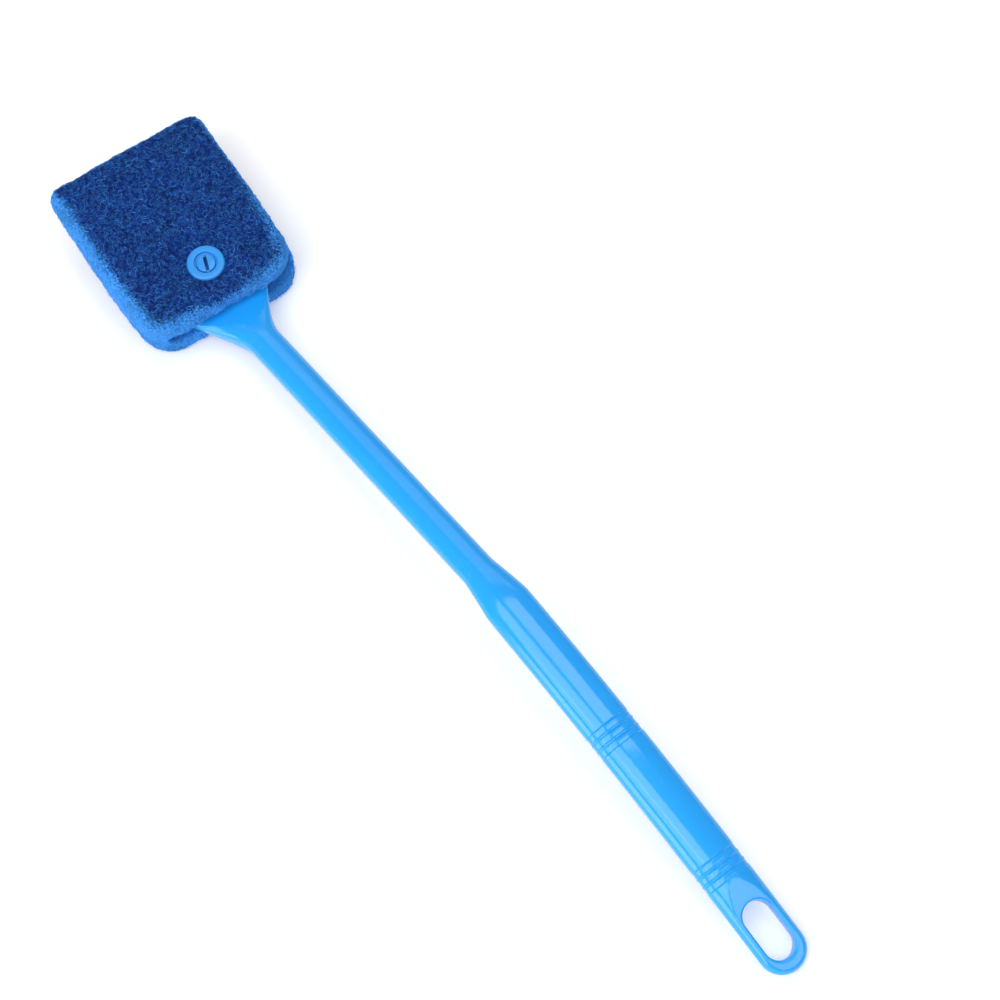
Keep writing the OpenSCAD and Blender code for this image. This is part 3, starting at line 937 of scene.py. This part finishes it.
def make_stud():
    """Flat head with the gate's mark, shank, and the domed and split tip."""
    low = -HEAD_UNDER - HEAD_T
    profile = [(0, low - 0.00012), (0.0004, low - 0.00012), (0.0006, low - 0.00004)]
    profile += [(0.0008, low), (0.003, low)]
    profile += rounded(HEAD_R - 0.0005, low + 0.0005, 0.0005, -90, 0)
    profile += rounded(HEAD_R - 0.0002, -HEAD_UNDER - 0.0002, 0.0002, 0, 90, 3)
    profile += [(SHANK_R + 0.0004, -HEAD_UNDER), (SHANK_R + 0.0001, -HEAD_UNDER + 0.0001)]
    profile += [(SHANK_R, -HEAD_UNDER + 0.0005)]
    profile += [(SHANK_R, -0.004), (SHANK_R, 0.004), (SHANK_R, TIP_TOP - 0.0006)]
    profile += rounded(SHANK_R - 0.0004, TIP_TOP - 0.0004, 0.0004, 10, 80, 4)
    profile += [(0.0028, TIP_TOP + 0.00012), (0.0016, TIP_TOP + 0.0002), (0, TIP_TOP + 0.00022)]
    stud = turned("stud_button", profile)
    for cutter in slot_cutter():
        cut(stud, cutter)
    bevelled(stud, 0.00012)
    smooth_by_angle(stud)
    return stud


def make_collar():
    """The ring that the tip snaps into: rounded outside, stepped inside."""
    top = COLLAR_UNDER + COLLAR_T
    floor = top - RECESS_DEEP
    bore = SHANK_R + 0.00008
    profile = [(bore, COLLAR_UNDER), (COLLAR_R - 0.0004, COLLAR_UNDER)]
    profile += rounded(COLLAR_R - 0.0003, COLLAR_UNDER + 0.0003, 0.0003, -90, 0, 3)
    profile += rounded(COLLAR_R - 0.0011, top - 0.0011, 0.0011, 0, 90, 7)
    profile += [(0.0061, top + 0.00002), (0.0054, top)]
    profile += rounded(RECESS_R + 0.0002, top - 0.0002, 0.0002, 90, 180, 3)
    profile += [(RECESS_R - 0.00003, floor + 0.0002), (RECESS_R - 0.00018, floor + 0.00003)]
    profile += [(RECESS_R - 0.0004, floor)]
    profile += [(bore + 0.00015, floor), (bore, floor - 0.00015), (bore, COLLAR_UNDER)]
    collar = turned("snap_collar", profile)
    smooth_by_angle(collar)
    return collar


def add(tree, kind, inputs=None, **settings):
    """A node with its settings, its values and its links."""
    made = tree.nodes.new(kind)
    for name, value in settings.items():
        setattr(made, name, value)
    for name, value in (inputs or {}).items():
        socket = next(s for s in made.inputs if s.name == name and s.enabled)
        if isinstance(value, bpy.types.NodeSocket):
            tree.links.new(value, socket)
        elif name == "Scale" and socket.type == "VECTOR" and not isinstance(value, tuple):
            socket.default_value = (value,) * 3
        else:
            socket.default_value = value
    return made


def group(name, inputs, outputs):
    """An empty shader node group with its sockets, and its two end nodes."""
    tree = bpy.data.node_groups.new(name, "ShaderNodeTree")
    for label, value in inputs.items():
        kind = "NodeSocketColor" if isinstance(value, tuple) else "NodeSocketFloat"
        tree.interface.new_socket(label, in_out="INPUT", socket_type=kind).default_value = value
    for label, kind in outputs.items():
        tree.interface.new_socket(label, in_out="OUTPUT", socket_type=kind)
    return tree, tree.nodes.new("NodeGroupInput").outputs, tree.nodes.new("NodeGroupOutput").inputs


def math_node(tree, operation, a, b=0.0):
    """The output of one sum on two numbers or sockets."""
    made = tree.nodes.new("ShaderNodeMath")
    made.operation = operation
    for socket, value in zip(made.inputs, (a, b)):
        if isinstance(value, bpy.types.NodeSocket):
            tree.links.new(value, socket)
        else:
            socket.default_value = value
    return made.outputs[0]


def times(tree, a, b):
    return math_node(tree, "MULTIPLY", a, b)


def plus(tree, a, b):
    return math_node(tree, "ADD", a, b)


def remap(tree, value, low, high, to_low=0.0, to_high=1.0):
    """An eased change of value, from low and high to two other numbers."""
    ends = {"Value": value, "From Min": low, "From Max": high, "To Min": to_low, "To Max": to_high}
    return add(tree, "ShaderNodeMapRange", ends, interpolation_type="SMOOTHSTEP").outputs["Result"]


def mixed(tree, share_of_b, a, b, blend="MIX"):
    """Two colours mixed, each a tuple or a socket."""
    made = tree.nodes.new("ShaderNodeMix")
    made.data_type = "RGBA"
    made.blend_type = blend
    sockets = [made.inputs[0], made.inputs[6], made.inputs[7]]
    for socket, value in zip(sockets, (share_of_b, a, b)):
        if isinstance(value, bpy.types.NodeSocket):
            tree.links.new(value, socket)
        else:
            socket.default_value = value if isinstance(value, float) else (*value, 1)[:4]
    return made.outputs[2]


def noise_of(tree, coords, scale, detail=2.0, rough=0.5, warp=0.0):
    return add(tree, "ShaderNodeTexNoise", {"Vector": coords, "Scale": scale, "Detail": detail,
                                            "Roughness": rough, "Distortion": warp}).outputs["Fac"]


def swung(tree, noise, reach):
    """A noise about zero, from minus to plus half of its reach."""
    return times(tree, math_node(tree, "SUBTRACT", noise, 0.5), reach)


def hairline(tree, coords, scale, warp, width):
    """Thin wandering lines, where a warped noise crosses its middle value."""
    noisy = noise_of(tree, coords, scale, 2.0, 0.5, warp)
    away = math_node(tree, "ABSOLUTE", math_node(tree, "SUBTRACT", noisy, 0.5))
    return remap(tree, away, 0.0, width, 1.0, 0.0)


def moulded_skin():
    """The skin of an injection moulding: flow marks, slight sinks, fine grain and handling scuffs."""
    tree, ins, outs = group(
        "moulded_skin",
        {"Colour": (0.02, 0.37, 0.9, 1), "Flow Colour": (0.01, 0.3, 0.8, 1), "Roughness": 0.2, "Scuffs": 0.5},
        {"Colour": "NodeSocketColor", "Roughness": "NodeSocketFloat", "Height": "NodeSocketFloat"})
    place = add(tree, "ShaderNodeTexCoord").outputs["Object"]
    drawn = add(tree, "ShaderNodeMapping", {"Vector": place, "Scale": (0.3, 1.0, 1.0)}).outputs["Vector"]
    flow = remap(tree, noise_of(tree, drawn, 55.0, 4.0, 0.55, 0.8), 0.38, 0.66)
    sinks = noise_of(tree, place, 85.0, 2.0)
    grain = noise_of(tree, place, 1300.0, 3.0)
    along_x = add(tree, "ShaderNodeMapping", {"Vector": place, "Scale": (0.06, 1.0, 1.0),
                                              "Rotation": (0.0, 0.1, 0.35)}).outputs["Vector"]
    across = add(tree, "ShaderNodeMapping", {"Vector": place, "Scale": (1.0, 0.07, 1.0),
                                             "Rotation": (0.2, 0.0, -0.3)}).outputs["Vector"]
    scratch = math_node(tree, "MAXIMUM", remap(tree, noise_of(tree, along_x, 2100.0, 1.0), 0.66, 0.74),
                        remap(tree, noise_of(tree, across, 1700.0, 1.0), 0.69, 0.76))
    patches = remap(tree, noise_of(tree, place, 140.0, 2.0), 0.45, 0.62)
    worn = times(tree, times(tree, scratch, patches), ins["Scuffs"])
    tint = mixed(tree, times(tree, flow, 0.55), ins["Colour"], ins["Flow Colour"])
    tree.links.new(mixed(tree, times(tree, worn, 0.12), tint, (0.4, 0.65, 1.0)), outs["Colour"])
    rough = plus(tree, ins["Roughness"], times(tree, flow, 0.05))
    tree.links.new(plus(tree, rough, times(tree, worn, 0.18)), outs["Roughness"])
    height = plus(tree, sinks, times(tree, grain, 0.035))
    tree.links.new(math_node(tree, "SUBTRACT", height, times(tree, worn, 0.06)), outs["Height"])
    return tree


def fibre_mat():
    """Matted fibres: a dark coated face, a brighter cut edge, pits darkened with painted shade where the
    matting is low, curled light fibres and odd specks.
    """
    tree, ins, outs = group(
        "fibre_mat",
        {"Face": (0.002, 0.023, 0.19, 1), "Edge": (0.05, 0.33, 0.93, 1),
         "Light": (0.07, 0.35, 0.95, 1), "Coat": 1.0},
        {"Colour": "NodeSocketColor", "Height": "NodeSocketFloat"})
    place = add(tree, "ShaderNodeTexCoord").outputs["Object"]
    matted = noise_of(tree, place, 1100.0, 5.0, 0.65, 0.6)
    clouds = noise_of(tree, place, 75.0, 4.0, 0.6)
    lines = math_node(tree, "MAXIMUM", hairline(tree, place, 760.0, 2.0, 0.03),
                      hairline(tree, place, 1250.0, 1.3, 0.035))
    bright = times(tree, lines, remap(tree, noise_of(tree, place, 520.0, 2.0), 0.4, 0.6))
    # Where the matting is low the dark face colour reaches further: partly the ragged edge of the coat,
    # partly painted shade in the bump's hollows
    ragged = plus(tree, ins["Coat"], swung(tree, clouds, 0.8))
    ragged = plus(tree, ragged, swung(tree, matted, -1.7))
    # Where the coat mask is low the edge colour shows: on the cut edges, and as a painted rim highlight at
    # the fold
    tint = mixed(tree, remap(tree, ragged, 0.1, 0.85), ins["Edge"], ins["Face"])
    # Painted shade: the colour is darkened where the matted noise, which also makes the bump's hollows, is
    # low, and lightened where it is high, most on the coated face; the clouds vary the tone at random
    deep = plus(tree, times(tree, ins["Coat"], 0.62), 0.38)
    hollow_shade = remap(tree, matted, 0.32, 0.64, -0.82, 0.62)
    pit_shade = plus(tree, times(tree, hollow_shade, deep), 1.0)
    cloudy = remap(tree, clouds, 0.3, 0.7, 0.8, 1.2)
    pit_shade_and_clouds = times(tree, pit_shade, cloudy)
    shade = add(tree, "ShaderNodeCombineColor", {"Red": pit_shade_and_clouds, "Green": pit_shade_and_clouds, "Blue": pit_shade_and_clouds}).outputs["Color"]
    tint = mixed(tree, 1.0, tint, shade, "MULTIPLY")
    tint = mixed(tree, times(tree, bright, 0.62), tint, ins["Light"])
    cells = add(tree, "ShaderNodeTexVoronoi", {"Vector": place, "Scale": 1150.0})
    pick = add(tree, "ShaderNodeSeparateColor", {"Color": cells.outputs["Color"]})
    dot = remap(tree, cells.outputs["Distance"], 0.22, 0.4, 1.0, 0.0)
    red = times(tree, dot, remap(tree, pick.outputs["Red"], 0.95, 0.96))
    pale = times(tree, dot, remap(tree, pick.outputs["Green"], 0.93, 0.94))
    tint = mixed(tree, times(tree, red, 0.5), tint, (0.06, 0.02, 0.09))
    tree.links.new(mixed(tree, times(tree, pale, 0.5), tint, ins["Light"]), outs["Colour"])
    tree.links.new(plus(tree, matted, times(tree, lines, 0.35)), outs["Height"])
    return tree


def put(node, values):
    """Sets a node's inputs by their names."""
    for label, value in values.items():
        node.inputs[label].default_value = value


def material(name):
    made = bpy.data.materials.new(name)
    made.use_nodes = True
    return made, made.node_tree, made.node_tree.nodes["Principled BSDF"]


def bumped(tree, shader, height, distance, strength=1.0):
    bump = add(tree, "ShaderNodeBump", {"Strength": strength, "Distance": distance, "Height": height})
    tree.links.new(bump.outputs["Normal"], shader.inputs["Normal"])


def blue_plastic(name, skin, colour, flow_colour, roughness, scuffs):
    made, tree, shader = material(name)
    face = add(tree, "ShaderNodeGroup", node_tree=skin)
    put(face, {"Colour": (*colour, 1), "Flow Colour": (*flow_colour, 1)})
    put(face, {"Roughness": roughness, "Scuffs": scuffs})
    tree.links.new(face.outputs["Colour"], shader.inputs["Base Color"])
    tree.links.new(face.outputs["Roughness"], shader.inputs["Roughness"])
    bumped(tree, shader, face.outputs["Height"], 0.00005)
    shader.inputs["IOR"].default_value = 1.5
    return made


def pad_felt(mat):
    made, tree, shader = material("pad_felt")
    coat_and_rim_light = add(tree, "ShaderNodeAttribute", attribute_name="coat_and_rim_light").outputs["Fac"]
    face = add(tree, "ShaderNodeGroup", node_tree=mat)
    tree.links.new(coat_and_rim_light, face.inputs["Coat"])
    tree.links.new(face.outputs["Colour"], shader.inputs["Base Color"])
    bumped(tree, shader, face.outputs["Height"], 0.0006, 0.9)
    put(shader, {"Roughness": 0.92, "Specular IOR Level": 0.08})
    put(shader, {"Sheen Weight": 0.06, "Sheen Roughness": 0.5, "Sheen Tint": (0.3, 0.55, 1, 1)})
    return made


def fibre_strands(mat):
    """Loose fibres: the felt's colour where they lie, mixed with a paler one by chance."""
    made, tree, shader = material("loose_fibres")
    coat_and_rim_light = add(tree, "ShaderNodeAttribute", attribute_name="coat_and_rim_light").outputs["Fac"]
    tone = add(tree, "ShaderNodeAttribute", attribute_name="tone").outputs["Fac"]
    face = add(tree, "ShaderNodeGroup", node_tree=mat)
    tree.links.new(coat_and_rim_light, face.inputs["Coat"])
    pale = remap(tree, tone, 0.1, 0.9, 0.08, 0.95)
    light = mixed(tree, coat_and_rim_light, (0.17, 0.52, 0.98), (0.055, 0.32, 0.95))
    tree.links.new(mixed(tree, pale, face.outputs["Colour"], light), shader.inputs["Base Color"])
    put(shader, {"Roughness": 0.55, "Specular IOR Level": 0.2})
    return made


def look_from():
    """The camera, above the grip's side of the object and looking down at it."""
    data = bpy.data.cameras.new("camera")
    data.lens = LENS
    data.sensor_width = 36
    camera = bpy.data.objects.new("camera", data)
    turn = Matrix((CAMERA_RIGHT, CAMERA_UP, CAMERA_BACK)).transposed()
    camera.matrix_world = Matrix.Translation(CAMERA_AT) @ turn.to_4x4()
    bpy.context.scene.collection.objects.link(camera)
    bpy.context.scene.camera = camera


def softbox(name, place, aim, size, radiance, roll=0.0):
    """A plain rectangular lamp of a given brightness, unseen by the camera."""
    data = bpy.data.lights.new(name, "AREA")
    data.shape = "RECTANGLE"
    data.size, data.size_y = size
    data.energy = radiance * math.pi * size[0] * size[1]
    lamp = bpy.data.objects.new(name, data)
    face = (Vector(aim) - Vector(place)).to_track_quat("-Z", "Y").to_matrix()
    lamp.matrix_world = Matrix.Translation(place) @ (Matrix.Rotation(roll, 3, "Z") @ face).to_4x4()
    lamp.visible_camera = False
    bpy.context.scene.collection.objects.link(lamp)


def overhead(name, x, y, size, radiance, turn=0.0, height=1.6):
    """A softbox that hangs level and faces down, turned by some degrees."""
    softbox(name, (x, y, height), (x, y, 0), size, radiance, math.radians(turn))


def studio():
    """A white room: strip boxes overhead, a tall box beside the object and softer ones at its ends."""
    world = bpy.data.worlds.new("studio")
    bpy.context.scene.world = world
    world.use_nodes = True
    tree = world.node_tree
    path = add(tree, "ShaderNodeLightPath")
    light = tree.nodes["Background"]
    light.inputs["Color"].default_value = (1, 1, 1, 1)
    strength = add(tree, "ShaderNodeMapRange",
                   {"Value": path.outputs["Is Camera Ray"], "To Min": ROOM_LIGHT, "To Max": 1.0})
    tree.links.new(strength.outputs["Result"], light.inputs["Strength"])
    overhead("strip", 0.30, -1.05, (1.5, 1.7), 2.8, 12)
    overhead("strip_core", 0.20, -1.0, (1.3, 0.14), 2.5, 25, 1.57)
    overhead("wide", -0.10, 0.48, (0.62, 1.0), 2.85)
    overhead("tail_box", 1.45, 0.35, (1.1, 0.8), 2.7)
    overhead("shaft_box", -1.5, 1.2, (1.3, 2.2), 0.9)
    softbox("side", (0.24, -1.5, 0.4), (0.24, 0, 0.4), (1.1, 0.8), 3.9)
    deselect()
    bpy.ops.mesh.primitive_plane_add(size=24)
    floor, _ = begin("floor")
    bpy.ops.mesh.subdivide(number_cuts=3)
    leave_edit(floor)
    made, tree, shader = material("floor_white")
    put(shader, {"Base Color": (0.9, 0.9, 0.9, 1), "Roughness": 0.9})
    put(shader, {"Emission Color": (1, 1, 1, 1), "Emission Strength": FLOOR_GLOW})
    floor.data.materials.append(made)
    bpy.context.scene.view_settings.view_transform = "Standard"


def place_piece(piece, finish, node, body):
    """Gives a piece its material, hides the part that it stands in for, and makes it move with its body."""
    piece.data.materials.clear()
    piece.data.materials.append(finish)
    if node:
        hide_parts(node)
    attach(piece, body)


look_from()
studio()
skin, mat = moulded_skin(), fibre_mat()
handle_blue = blue_plastic("handle_blue", skin, (0.014, 0.345, 0.88), (0.01, 0.315, 0.83), 0.1, 0.6)
button_blue = blue_plastic("button_blue", skin, (0.022, 0.285, 0.77), (0.016, 0.26, 0.72), 0.25, 0.3)
place_piece(make_handle(), handle_blue, "handle", "handle")
pad = make_pad()
fibres = make_fibres(pad)
place_piece(pad, pad_felt(mat), "scrub_pad", "pad")
place_piece(fibres, fibre_strands(mat), None, "pad")
place_piece(make_stud(), button_blue, "stud", "stud")
place_piece(make_collar(), button_blue, "collar", "collar")
